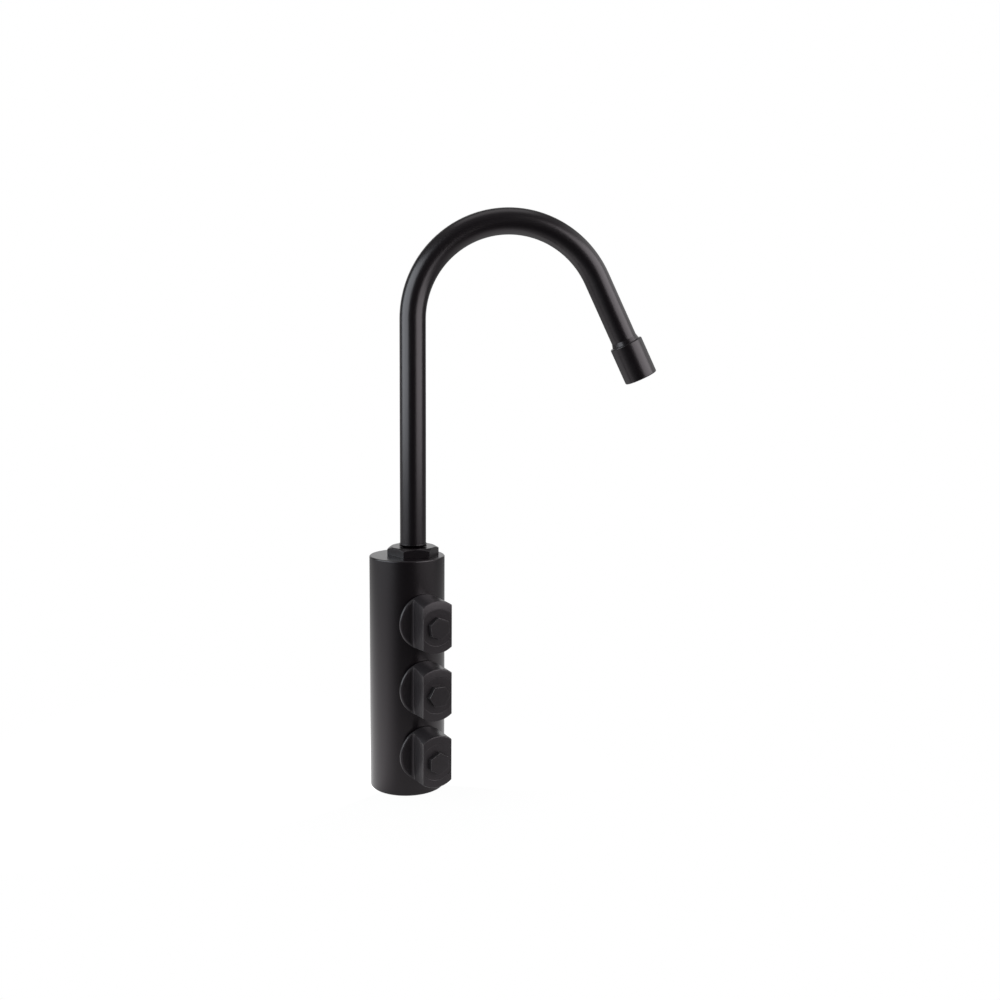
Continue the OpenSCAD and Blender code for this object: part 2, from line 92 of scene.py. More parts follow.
def share(name, description, default):
    """A plain number from nothing to one."""
    return bpy.props.FloatProperty(
        name=name, description=description, default=default, min=0, max=1, subtype="FACTOR")


class TapBodySizes(bpy.types.PropertyGroup):
    """Sizes of the drilled body and its base."""

    radius: length("Radius", "Radius of the body", (BODY_BOX[1].x - BODY_BOX[0].x) / 2 / MM)
    height: length("Height", "Height of the body", BODY_BOX[1].z / MM)
    rim: length("Rim", "Rounding of the top rim", 0.8)
    foot: length("Foot", "Bevel around the foot", 0.5)
    spot: length("Spot face", "Radius of the milled seat behind each knob", 12)
    spot_reach: length("Spot face reach", "Distance of that seat from the body's middle", 19.03)
    bore: length("Valve bore", "Radius of a valve's bore", 10)
    pocket: length("Valve pocket", "Radius at the bottom of a valve's bore", 8.5)
    port: length("Hose port", "Radius of a hose port", 4.5)
    port_circle: length("Port circle", "Radius on which the hose ports lie", 12.2)
    stud: length("Stud hole", "Radius of the fixing hole", 3.4)
    seal: length("Seal groove", "Outer radius of the groove for the base seal", 21.1)
    seal_width: length("Seal width", "Width of the groove for the base seal", 2.4)


class TapKnobSizes(bpy.types.PropertyGroup):
    """Sizes of the knobs and their screws, with places measured out from the body's middle."""

    turn: degrees("Valve turn", "Turn from the spout to the valves, seen from above", -67)
    heights: bpy.props.FloatVectorProperty(
        name="Heights", description="Heights of the upper, middle and lower valve",
        default=(0.106, 0.066, 0.026), unit="LENGTH", size=3)
    back: length("Back", "Where a knob's back lies", 23)
    floor: length("Floor", "Where the front of the flange lies", 24.8)
    face: length("Face", "Where the middle of the front face lies", 41.5)
    flange: length("Flange", "Radius of the flange", 16.1)
    rim: length("Rim", "Rounding of the flange's rim where the sides are milled", 1.1)
    drum: length("Drum", "Radius of the front face", 15.5)
    grip: length("Grip", "Half the width of the grip at its face", 9.4)
    grip_foot: length("Grip foot", "Half the width of the grip on the flange", 7.7)
    fillet: length("Fillet", "Rounding between flange and grip", 1.5)
    crown: length("Crown", "Radius of the crowned face", 110)
    seat: length("Seat", "Radius of the round seat for the screw", 10.7)
    seat_floor: length("Seat floor", "Where the screw's seat lies", 40.75)
    bevel: length("Bevel", "Rounding where the milled sides meet the face", 1.04)
    edge: length("Edge", "Softness of the milled edges", 0.3)
    screw: length("Screw", "Half the width of the screw's head across its flats", 5.7)
    screw_head: length("Screw head", "Height of the screw's head", 3.2)
    screw_length: length("Screw length", "Length of the screw's shank", 15.178)
    screw_turns: bpy.props.FloatVectorProperty(
        name="Screw turns", description="Turn of the upper, middle and lower screw head",
        default=(math.radians(8), math.radians(30), 0), unit="ROTATION", size=3)


class TapSpoutSizes(bpy.types.PropertyGroup):
    """Sizes of the gland nut, the swan-neck tube and the outlet."""

    offset: length("Offset", "Distance of the spout's axis from the body's middle", 3.6)
    tube: length("Tube", "Radius of the spout tube", 7.75)
    wall: length("Wall", "Wall of the spout tube", 1)
    start: length("Start", "Height at which the tube starts", 149.1)
    bend_height: length("Bend height", "Height at which the swan neck starts", 281.5)
    bend: length("Bend", "Radius of the swan neck along the tube's middle", 57.5)
    sweep: degrees("Sweep", "Angle that the swan neck turns through", 154)
    leg: length("Leg", "Straight length of tube after the bend", 45)
    nut: length("Nut", "Half the width of the gland nut across its flats", 13.5)
    nut_height: length("Nut height", "Height of the gland nut", 5.4)
    nut_turn: degrees("Nut turn", "Turn of the gland nut", 6)
    neck: length("Neck", "Radius of the neck that passes the nut", 6)
    lip: length("Lip", "Radius of the lip under the tube", 8.3)
    lip_height: length("Lip height", "Height at which the lip starts", 148.6)
    shell: length("Outlet shell", "Radius of the outlet shell", 10.0)
    shell_start: length("Shell start", "Where the shell starts along the leg", 42)
    shell_length: length("Shell length", "Length of the outlet shell", 22.8)
    shell_edge: length("Shell edge", "Rounding at the ends of the shell", 0.7)
    jets: bpy.props.IntProperty(
        name="Jets", description="Number of jets around the middle nozzle", default=10, min=4)


class TapColours(bpy.types.PropertyGroup):
    """Colours and gloss of the finishes."""

    coat: tint("Coat", "powder coat", (0.003, 0.002, 0.0027))
    # Lighter colour on the body's edges: worn coat, and a painted highlight along them
    coat_edge: tint("Coat edge", "coat over an edge", (0.02, 0.019, 0.021))
    coat_roughness: share("Coat roughness", "Roughness of the powder coat", 0.29)
    # Lighter than the body's coat: the same coat, with painted light for the light the knobs catch
    knob: tint("Knob", "coat on the milled knobs", (0.0195, 0.0168, 0.0185))
    # Lighter colour on the knobs' edges: worn coat, and a painted highlight along them
    knob_edge: tint("Knob edge", "knobs' coat over an edge", (0.085, 0.08, 0.083))
    knob_roughness: share("Knob roughness", "Roughness of the coat on the knobs", 0.29)
    screw: tint("Screw", "blackened screws", (0.0125, 0.0108, 0.012))
    brass: tint("Brass", "bare brass headwork", (0.72, 0.5, 0.22))
    steel: tint("Steel", "steel mesh", (0.6, 0.6, 0.62))
    rubber: tint("Rubber", "rubber rings", (0.018, 0.018, 0.019))
    ceramic: tint("Ceramic", "ceramic discs", (0.8, 0.78, 0.73))
    slip: tint("Slip ring", "plastic slip ring", (0.75, 0.74, 0.7))
    liner: tint("Liner", "filtered water liner", (0.55, 0.6, 0.66))
    insert: tint("Insert", "jet insert", (0.05, 0.05, 0.053))
    floor: tint("Floor", "floor", (0.86, 0.86, 0.86))


# Modelling helpers


def in_mm(settings, *names):
    """Some sizes of a group, in millimetres."""
    return [getattr(settings, name) / MM for name in names]


def let_go():
    """Leaves edit mode and deselects everything."""
    if bpy.context.object and bpy.context.object.mode != "OBJECT":
        bpy.ops.object.mode_set(mode="OBJECT")
    bpy.ops.object.select_all(action="DESELECT")


def pick(piece):
    """Makes a piece the only one selected, and active."""
    let_go()
    piece.select_set(True)
    bpy.context.view_layer.objects.active = piece


def soften(corners, closed):
    """An outline's points, where a corner with a third number is rounded to that radius."""
    points = []
    for i, corner in enumerate(corners):
        here = Vector(corner[:2])
        inner = closed or 0 < i < len(corners) - 1
        if len(corner) < 3 or not inner:
            points.append(here)
            continue
        before = (Vector(corners[i - 1][:2]) - here).normalized()
        after = (Vector(corners[(i + 1) % len(corners)][:2]) - here).normalized()
        half = before.angle(after) / 2
        middle = here + (before + after).normalized() * corner[2] / math.sin(half)
        first = here + before * corner[2] / math.tan(half) - middle
        last = here + after * corner[2] / math.tan(half) - middle
        sweep = first.angle_signed(last)
        steps = max(2, round(math.degrees(abs(sweep)) / ARC_STEP))
        for k in range(steps + 1):
            points.append(middle + Matrix.Rotation(-sweep * k / steps, 2) @ first)
    return points


def draw(name, corners, closed):
    """Draws an outline in the XZ plane by extruding one point from place to place."""
    points = [Vector((x, 0, z)) * MM for x, z in soften(corners, closed)]
    let_go()
    bpy.ops.mesh.primitive_plane_add(size=MM)
    piece = bpy.context.object
    piece.name = piece.data.name = name
    bpy.ops.object.mode_set(mode="EDIT")
    bpy.ops.mesh.select_mode(type="VERT")
    bpy.ops.mesh.select_all(action="SELECT")
    bpy.ops.mesh.merge(type="CENTER")
    here = points[0]
    bpy.ops.transform.translate(value=here)
    for there in points[1:] + (points[:1] if closed else []):
        bpy.ops.mesh.extrude_region_move(TRANSFORM_OT_translate={"value": there - here})
        here = there
    bpy.ops.mesh.select_all(action="SELECT")
    bpy.ops.mesh.remove_doubles(threshold=CLOSE)
    return piece


def turned(name, corners, closed=True, steps=128):
    """A piece turned about +Z from an outline of radius and height."""
    piece = draw(name, corners, closed)
    bpy.ops.mesh.spin(steps=steps, angle=math.tau, center=(0, 0, 0), axis=(0, 0, 1))
    bpy.ops.mesh.select_all(action="SELECT")
    bpy.ops.mesh.remove_doubles(threshold=2 * CLOSE)
    bpy.ops.mesh.normals_make_consistent(inside=False)
    let_go()
    return piece


def bar(name, corners):
    """A straight bar along X from an outline of side and height, longer than a knob is wide."""
    piece = draw(name, corners, True)
    bpy.ops.mesh.edge_face_add()
    bpy.ops.transform.translate(value=(0, -BAR_REACH * MM, 0))
    bpy.ops.mesh.extrude_region_move(
        TRANSFORM_OT_translate={"value": (0, 2 * BAR_REACH * MM, 0)})
    bpy.ops.mesh.select_all(action="SELECT")
    bpy.ops.mesh.normals_make_consistent(inside=False)
    let_go()
    put(piece, Matrix.Rotation(math.radians(90), 4, "Z"))
    return piece


def rod(name, radius, depth, sides, place):
    """A round or six-sided rod around a place."""
    let_go()
    bpy.ops.mesh.primitive_cylinder_add(vertices=sides, radius=radius * MM, depth=depth * MM)
    piece = bpy.context.object
    piece.name = piece.data.name = name
    put(piece, place)
    return piece


def put(piece, place):
    """Moves a piece to a place and writes that place into its mesh."""
    pick(piece)
    piece.matrix_world = place
    bpy.ops.object.transform_apply(location=True, rotation=True, scale=True)


def modify(piece, kind, **settings):
    """Gives the active piece a modifier with some settings and applies it."""
    bpy.ops.object.modifier_add(type=kind)
    modifier = piece.modifiers[-1]
    for title, value in settings.items():
        setattr(modifier, title, value)
    bpy.ops.object.modifier_apply(modifier=modifier.name)


def carve(piece, tool, operation="DIFFERENCE"):
    """Cuts a tool out of a piece, or keeps what both share, or joins them."""
    pick(piece)
    modify(piece, "BOOLEAN", operation=operation, solver="EXACT", object=tool)
    bpy.data.objects.remove(tool)


def merge_near(piece, distance):
    """Merges what a cut left double, and stays in edit mode."""
    pick(piece)
    bpy.ops.object.mode_set(mode="EDIT")
    bpy.ops.mesh.select_all(action="SELECT")
    bpy.ops.mesh.remove_doubles(threshold=distance * MM)


def break_edges(piece, width):
    """Takes the sharpness off all edges of a piece."""
    merge_near(piece, 0.02)
    bpy.ops.object.mode_set(mode="OBJECT")
    modify(piece, "BEVEL", width=width * MM, segments=2, limit_method="ANGLE",
           angle_limit=math.radians(32), use_clamp_overlap=False, miter_outer="MITER_ARC")


def copy_of(piece, name):
    """A copy of a piece with a mesh of its own."""
    pick(piece)
    bpy.ops.object.duplicate(linked=False)
    twin = bpy.context.object
    twin.name = twin.data.name = name
    return twin


def hand_over(piece, body, slot, maker, *nodes):
    """Shades a finished piece, gives it its finish and ties it to the frame."""
    pick(piece)
    bpy.ops.object.shade_smooth_by_angle(angle=math.radians(30))
    modify(piece, "WEIGHTED_NORMAL", keep_sharp=True)
    piece.data.materials.clear()
    piece.data.materials.append(maker(bpy.context.scene.tap_colours))
    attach(piece, body)
    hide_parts(*nodes)
    let_go()


def valve_place(knobs, height):
    """Turns +Z onto a valve's axis, pointing out of the body at a height."""
    return (Matrix.Translation((0, 0, height)) @ Matrix.Rotation(knobs.turn, 4, "Z")
            @ Matrix.Rotation(math.radians(90), 4, "Y"))


def spout_place(spout):
    """Moves a piece from the body's axis onto the spout's."""
    return Matrix.Translation((spout.offset, 0, 0))


def leg_place(spout):
    """Turns +Z onto the straight leg, starting at the end of the bend."""
    x = spout.offset + spout.bend - spout.bend * math.cos(spout.sweep)
    z = spout.bend_height + spout.bend * math.sin(spout.sweep)
    return Matrix.Translation((x, 0, z)) @ Matrix.Rotation(spout.sweep, 4, "Y")


# Shader nodes


def node_group(name, inputs, outputs):
    """A new shader node group with its sockets, its inputs' node and its outputs' node."""
    group = bpy.data.node_groups.new(name, "ShaderNodeTree")
    for title, default in inputs:
        socket = group.interface.new_socket(title, in_out="INPUT", socket_type="NodeSocketFloat")
        socket.default_value = default
    for title, kind in outputs:
        group.interface.new_socket(title, in_out="OUTPUT", socket_type=kind)
    return group, group.nodes.new("NodeGroupInput"), group.nodes.new("NodeGroupOutput")


def feed(tree, socket, value):
    """Links a socket to another one, or gives it a plain value."""
    if isinstance(value, bpy.types.NodeSocket):
        tree.links.new(value, socket)
    else:
        socket.default_value = value


def coordinates(tree, kind="Object"):
    """The place that is being shaded."""
    return tree.nodes.new("ShaderNodeTexCoord").outputs[kind]


def noise(tree, where, scale, detail, roughness):
    """A noise texture read at a place."""
    node = tree.nodes.new("ShaderNodeTexNoise")
    for title, value in (("Vector", where), ("Scale", scale), ("Detail", detail),
                         ("Roughness", roughness)):
        feed(tree, node.inputs[title], value)
    return node.outputs["Fac"]


def math_node(tree, operation, *values, kind="ShaderNodeMath"):
    """A Math node, or a Vector Math node, fed with sockets or plain values."""
    node = tree.nodes.new(kind)
    node.operation = operation
    for socket, value in zip(node.inputs, values):
        feed(tree, socket, value)
    return node


def plus(tree, *values):
    """The sum of two values."""
    return math_node(tree, "ADD", *values).outputs[0]


def minus(tree, *values):
    """The first value less the second."""
    return math_node(tree, "SUBTRACT", *values).outputs[0]


def times(tree, *values):
    """The product of two values."""
    return math_node(tree, "MULTIPLY", *values).outputs[0]


def larger(tree, *values):
    """The larger of two values."""
    return math_node(tree, "MAXIMUM", *values).outputs[0]


def vector_math(tree, operation, *values):
    """A Vector Math node fed with sockets or plain vectors."""
    return math_node(tree, operation, *values, kind="ShaderNodeVectorMath")


def stretch(tree, value, low, high, to_low, to_high):
    """Maps a value from one range to another, held inside it."""
    node = tree.nodes.new("ShaderNodeMapRange")
    for title, number in (("Value", value), ("From Min", low), ("From Max", high),
                          ("To Min", to_low), ("To Max", to_high)):
        feed(tree, node.inputs[title], number)
    return node.outputs["Result"]


def surface_grain():
    """Fine grain and slow waviness of a surface, as a normal and a roughness."""
    group, given, out = node_group(
        "surface_grain",
        [("Grain", 1400.0), ("Depth", 1e-5), ("Wave", 180.0), ("Wave Depth", 1e-5),
         ("Roughness", 0.35), ("Spread", 0.05)],
        [("Normal", "NodeSocketVector"), ("Roughness", "NodeSocketFloat")])
    where = coordinates(group)
    fine = noise(group, where, given.outputs["Grain"], 2.5, 0.55)
    wave = noise(group, where, given.outputs["Wave"], 1.5, 0.5)
    height = plus(group, times(group, fine, given.outputs["Depth"]),
                  times(group, wave, given.outputs["Wave Depth"]))
    bump = group.nodes.new("ShaderNodeBump")
    bump.inputs["Strength"].default_value = 1.0
    bump.inputs["Distance"].default_value = 1.0
    group.links.new(height, bump.inputs["Height"])
    patches = noise(group, where, 38.0, 3.0, 0.6)
    smears = plus(group, times(group, patches, 0.7), times(group, fine, 0.3))
    swing = times(group, minus(group, smears, 0.5), given.outputs["Spread"])
    rough = plus(group, given.outputs["Roughness"], times(group, swing, 2.0))
    group.links.new(bump.outputs["Normal"], out.inputs["Normal"])
    group.links.new(rough, out.inputs["Roughness"])
    return group


def edge_wear_and_highlight():
    """A mask of the edges, broken up by noise, where a finish thins and is worn through, and where
    a painted highlight lightens it.
    """
    group, given, out = node_group(
        "edge_wear_and_highlight", [("Radius", 0.0004), ("Amount", 1.0)], [("Mask", "NodeSocketFloat")])
    bevel = group.nodes.new("ShaderNodeBevel")
    bevel.samples = 4
    group.links.new(given.outputs["Radius"], bevel.inputs["Radius"])
    plain = group.nodes.new("ShaderNodeNewGeometry")
    likeness = vector_math(group, "DOT_PRODUCT", bevel.outputs["Normal"], plain.outputs["Normal"])
    edge = stretch(group, minus(group, 1.0, likeness.outputs["Value"]), 0.01, 0.25, 0.0, 1.0)
    patches = noise(group, coordinates(group), 320.0, 3.0, 0.6)
    patches = stretch(group, patches, 0.35, 0.65, 0.35, 1.0)
    # Edges under this mask take a lighter colour: worn coat, and a painted highlight along the
    # edges
    mask = times(group, times(group, edge, patches), given.outputs["Amount"])
    group.links.new(mask, out.inputs["Mask"])
    return group


def mottle():
    """A slow drift of shade over a surface, as a number around one."""
    group, given, out = node_group(
        "mottle", [("Scale", 60.0), ("Amount", 0.2)], [("Shade", "NodeSocketFloat")])
    cloud = noise(group, coordinates(group), given.outputs["Scale"], 4.0, 0.55)
    swing = times(group, minus(group, cloud, 0.5), given.outputs["Amount"])
    group.links.new(plus(group, 1.0, times(group, swing, 2.0)), out.inputs["Shade"])
    return group


def turning_lines():
    """Fine, slightly wavering tool lines, as a height."""
    group, given, out = node_group(
        "turning_lines", [("Pitch", 9000.0)], [("Height", "NodeSocketFloat")])
    wave = group.nodes.new("ShaderNodeTexWave")
    wave.bands_direction = "DIAGONAL"
    wave.inputs["Distortion"].default_value = 0.4
    wave.inputs["Detail"].default_value = 1.0
    group.links.new(coordinates(group), wave.inputs["Vector"])
    group.links.new(given.outputs["Pitch"], wave.inputs["Scale"])
    group.links.new(wave.outputs["Fac"], out.inputs["Height"])
    return group


def use_group(tree, maker, **values):
    """Places a shared group, made at its first use, with the values that a material gives."""
    node = tree.nodes.new("ShaderNodeGroup")
    node.node_tree = bpy.data.node_groups.get(maker.__name__) or maker()
    for title, value in values.items():
        node.inputs[title.replace("_", " ")].default_value = value
    return node


# Finishes


def finish(name, colour, edge, grain, wave, rough, worn_and_highlit_edge, shade,
           metallic=0.0, ior=1.5, sheen=0.0, lines=None, tinge=(1, 1, 1)):
    """A material with grain, worn and painted-highlight edges and drifting shade, built once under
    its name.

    grain, wave: bumps to the metre, height in mm. rough: level, drift.
    worn_and_highlit_edge: width in mm and amount of the lighter edges, worn coat and painted
    highlight. shade: patches to the metre, amount.
    """
    if name in bpy.data.materials:
        return bpy.data.materials[name]
    material = bpy.data.materials.new(name)
    material.use_nodes = True
    tree = material.node_tree
    shader = tree.nodes["Principled BSDF"]
    for title, value in (("Metallic", metallic), ("IOR", ior), ("Sheen Weight", sheen),
                         ("Specular Tint", (*tinge, 1))):
        shader.inputs[title].default_value = value
    surface = use_group(
        tree, surface_grain, Grain=grain[0], Depth=grain[1] * MM, Wave=wave[0],
        Wave_Depth=wave[1] * MM, Roughness=rough[0], Spread=rough[1])
    tree.links.new(surface.outputs["Roughness"], shader.inputs["Roughness"])
    normal = surface.outputs["Normal"]
    if lines:
        rings = use_group(tree, turning_lines, Pitch=lines)
        bump = tree.nodes.new("ShaderNodeBump")
        bump.inputs["Strength"].default_value = 0.25
        bump.inputs["Distance"].default_value = 0.02 * MM
        tree.links.new(rings.outputs["Height"], bump.inputs["Height"])
        tree.links.new(normal, bump.inputs["Normal"])
        normal = bump.outputs["Normal"]
    tree.links.new(normal, shader.inputs["Normal"])
    drift = use_group(tree, mottle, Scale=shade[0], Amount=shade[1])
    # Mixes in the lighter edge colour: worn coat, and a painted highlight along the edges
    worn_and_highlit = tree.nodes.new("ShaderNodeMix")
    worn_and_highlit.data_type = "RGBA"
    worn_and_highlit.inputs["A"].default_value = (*colour, 1)
    worn_and_highlit.inputs["B"].default_value = (*edge, 1)
    mask = use_group(tree, edge_wear_and_highlight, Radius=worn_and_highlit_edge[0] * MM, Amount=worn_and_highlit_edge[1])
    tree.links.new(mask.outputs["Mask"], worn_and_highlit.inputs["Factor"])
    scaled = vector_math(tree, "SCALE", worn_and_highlit.outputs["Result"])
    tree.links.new(drift.outputs["Shade"], scaled.inputs["Scale"])
    tree.links.new(scaled.outputs["Vector"], shader.inputs["Base Color"])
    return material


def powder_coat(colours):
    """Satin black powder coat with a faint orange peel."""
    return finish(
        "powder_coat", colours.coat, colours.coat_edge, tinge=BLACK_TINGE,
        grain=(1500, 0.004), wave=(420, 0.006), rough=(colours.coat_roughness, 0.03),
        worn_and_highlit_edge=(0.5, 0.5), shade=(45, 0.12))


def knob_coat_painted_lighter(colours):
    """The same coat over the milled faces of the knobs, made a little greyer as painted light for
    the light the knobs catch.
    """
    return finish(
        "knob_coat_painted_lighter", colours.knob, colours.knob_edge, ior=1.41, tinge=BLACK_TINGE,
        grain=(1800, 0.005), wave=(420, 0.006), rough=(colours.knob_roughness, 0.04),
        worn_and_highlit_edge=(0.5, 0.7), shade=(70, 0.16))


def blackened_steel(colours):
    """Black oxide on the hexagon screws."""
    return finish(
        # The edge colour is much lighter than the screw: worn oxide, and a painted highlight on
        # the hexagon's edges
        "blackened_steel", colours.screw, (0.12, 0.114, 0.118), ior=1.45, tinge=BLACK_TINGE,
        grain=(2600, 0.006), wave=(500, 0.008), rough=(0.32, 0.06),
        worn_and_highlit_edge=(0.5, 0.8), shade=(200, 0.2))


def brass(colours):
    """Bare turned brass of the valve headwork."""
    return finish(
        "bare_brass", colours.brass, (0.85, 0.66, 0.34), metallic=1.0, lines=9000,
        grain=(3000, 0.004), wave=(300, 0.006), rough=(0.28, 0.06),
        worn_and_highlit_edge=(0.3, 0.5), shade=(150, 0.15))


def rubber(colours):
    """Matt black rubber with a dusty bloom."""
    return finish(
        "seal_rubber", colours.rubber, (0.035, 0.035, 0.036), sheen=0.15,
        grain=(4200, 0.02), wave=(600, 0.02), rough=(0.72, 0.08),
        worn_and_highlit_edge=(0.3, 0.4), shade=(180, 0.3))


def ceramic(colours):
    """Lapped ceramic of the valve discs."""
    return finish(
        "lapped_ceramic", colours.ceramic, (0.9, 0.89, 0.86), ior=1.7,
        grain=(3500, 0.003), wave=(400, 0.003), rough=(0.22, 0.04),
        worn_and_highlit_edge=(0.2, 0.4), shade=(120, 0.05))


def slip_plastic(colours):
    """Waxy white plastic of the thrust ring."""
    return finish(
        "slip_plastic", colours.slip, (0.82, 0.81, 0.78),
        grain=(2200, 0.008), wave=(300, 0.01), rough=(0.42, 0.05),
        worn_and_highlit_edge=(0.2, 0.4), shade=(90, 0.06))


def liner_plastic(colours):
    """Drinking water hose."""
    return finish(
        "liner_plastic", colours.liner, (0.62, 0.66, 0.72),
        grain=(1500, 0.006), wave=(160, 0.02), rough=(0.35, 0.05),
        worn_and_highlit_edge=(0.2, 0.3), shade=(60, 0.08))


def insert_plastic(colours):
    """Moulded dark plastic of the jet insert."""
    return finish(
        "insert_plastic", colours.insert, (0.09, 0.09, 0.093),
        grain=(2600, 0.012), wave=(500, 0.01), rough=(0.45, 0.06),
        worn_and_highlit_edge=(0.2, 0.4), shade=(150, 0.1))


def steel_mesh(colours):
    """Woven stainless mesh, drawn as a fine bump."""
    return finish(
        "steel_mesh", colours.steel, (0.75, 0.75, 0.77), metallic=1.0, lines=12000,
        grain=(5000, 0.03), wave=(800, 0.01), rough=(0.3, 0.08),
        worn_and_highlit_edge=(0.1, 0.5), shade=(400, 0.2))


# The pieces, turned from outlines of radius, height and a corner's rounding in millimetres


class TAP_OT_body(bpy.types.Operator):
    """Turns the body, then mills and drills its valve seats, socket, ports and groove"""

    bl_idname = "tap.body"
    bl_label = "Body"

    def execute(self, context):
        sizes, knobs = context.scene.tap_body, context.scene.tap_knobs
        r, h, foot, rim = in_mm(sizes, "radius", "height", "foot", "rim")
        bands = sorted(v / MM + step for v in knobs.heights for step in BAND_STEPS)
        body = turned("body_shell", [
            (0, 0), (r - foot, 0, 0.15), (r, foot, 0.3), *[(r, band) for band in bands],
            (r, h, rim), (0, h),
        ], closed=False, steps=192)
        for height in knobs.heights:
            carve(body, self.valve_room(sizes, valve_place(knobs, height)))
        carve(body, self.socket_room(context.scene.tap_spout))
        for i in range(3):
            angle = math.radians(180 - 120 * i) + knobs.turn
            x, y = sizes.port_circle * math.cos(angle), sizes.port_circle * math.sin(angle)
            carve(body, self.threaded_hole(sizes.port / MM, PORT_DEPTH, x, y))
        carve(body, self.threaded_hole(sizes.stud / MM, STUD_DEPTH, 0, 0))
        outer, inner, deep = sizes.seal / MM, (sizes.seal - sizes.seal_width) / MM, 1.6
        groove = [(inner, -1), (outer, -1), (outer, deep), (inner, deep)]
        carve(body, turned("groove_room", groove))
        hand_over(body, "tap", "black_coat", powder_coat, "tap_body")
        return {"FINISHED"}

    def valve_room(self, sizes, place):
        """The stepped bore of one valve, with its milled seat."""
        bore, pocket, spot, reach = in_mm(sizes, "bore", "pocket", "spot", "spot_reach")
        floor, step, outside = -12, -4, 30
        room = turned("valve_room", [
            (0, floor), (pocket, floor), (pocket, step), (bore, step), (bore, reach),
            (spot, reach), (spot, outside), (0, outside),
        ], closed=False, steps=96)
        put(room, place)
        return room

    def socket_room(self, spout):
        """The socket for the spout's foot, with the thread and the mouth above it."""
        foot, thread, mouth = 8.95, 10.9, 11.6
        floor, thread_foot, thread_top, mouth_foot, above = 122, 135.7, 141.4, 142.1, 150
        room = turned("socket_room", [
            (0, floor), (foot, floor), (foot, thread_foot), (thread, thread_foot),
            (thread, thread_top), (mouth, mouth_foot), (mouth, above), (0, above),
        ], closed=False, steps=96)
        put(room, spout_place(spout))
        return room

    def threaded_hole(self, radius, depth, x, y):
        """A threaded hole up into the base, with a countersunk mouth and a drilled point."""
        pitch, first_turn, root = 1.0, 0.9, radius + 0.45
        outline = [(0, -1), (radius + 1.6, -1), (root, 0.75)]
        for k in range(int((depth - 2) / pitch)):
            turn = first_turn + k * pitch
            outline += [(radius, turn + 0.35), (root, turn + 0.85)]
        outline += [(radius, depth - 0.6), (radius, depth), (0, depth + 1.4)]
        hole = turned("port_room", outline, closed=False, steps=48)
        put(hole, Matrix.Translation((x, y, 0)))
        return hole


class TAP_OT_nut(bpy.types.Operator):
    """Cuts the gland nut from a six-sided bar and chamfers its corners"""

    bl_idname = "tap.nut"
    bl_label = "Gland nut"

    def execute(self, context):
        spout = context.scene.tap_spout
        foot = context.scene.tap_body.height / MM
        flat, high = in_mm(spout, "nut", "nut_height")
        corner, top = flat * 2 / math.sqrt(3), foot + high
        turn = Matrix.Rotation(spout.nut_turn - math.radians(30), 4, "Z")
        nut = rod("gland_nut", corner, high, 6,
                  Matrix.Translation((0, 0, (foot + high / 2) * MM)) @ turn)
        chamfer, slope = corner - flat + 0.4, 0.58
        carve(nut, turned("chamfer", [
            (0, foot - 0.5), (corner + 1, foot - 0.5), (corner + 1, top - chamfer * slope - slope),
            (corner - chamfer, top), (0, top),
        ], closed=False, steps=192), "INTERSECT")
        hole, mouth, thread = 6.1, 8.2, 10.85
        cone_foot, cone_top, above = 144.86, 146.96, 150
        carve(nut, turned("neck_room", [
            (0, foot - 10), (hole, foot - 10), (hole, cone_foot), (mouth, cone_top),
            (mouth, above), (0, above),
        ], closed=False, steps=96))
        carve(nut, turned("thread", [
            (hole, foot - 6), (thread - 0.45, foot - 6), (thread, foot - 5.5),
            (thread, foot + 0.4), (hole, foot + 0.4),
        ], steps=96), "UNION")
        break_edges(nut, 0.16)
        put(nut, spout_place(spout))
        hand_over(nut, "tap", "black_coat", powder_coat, "spout_nut")
        return {"FINISHED"}


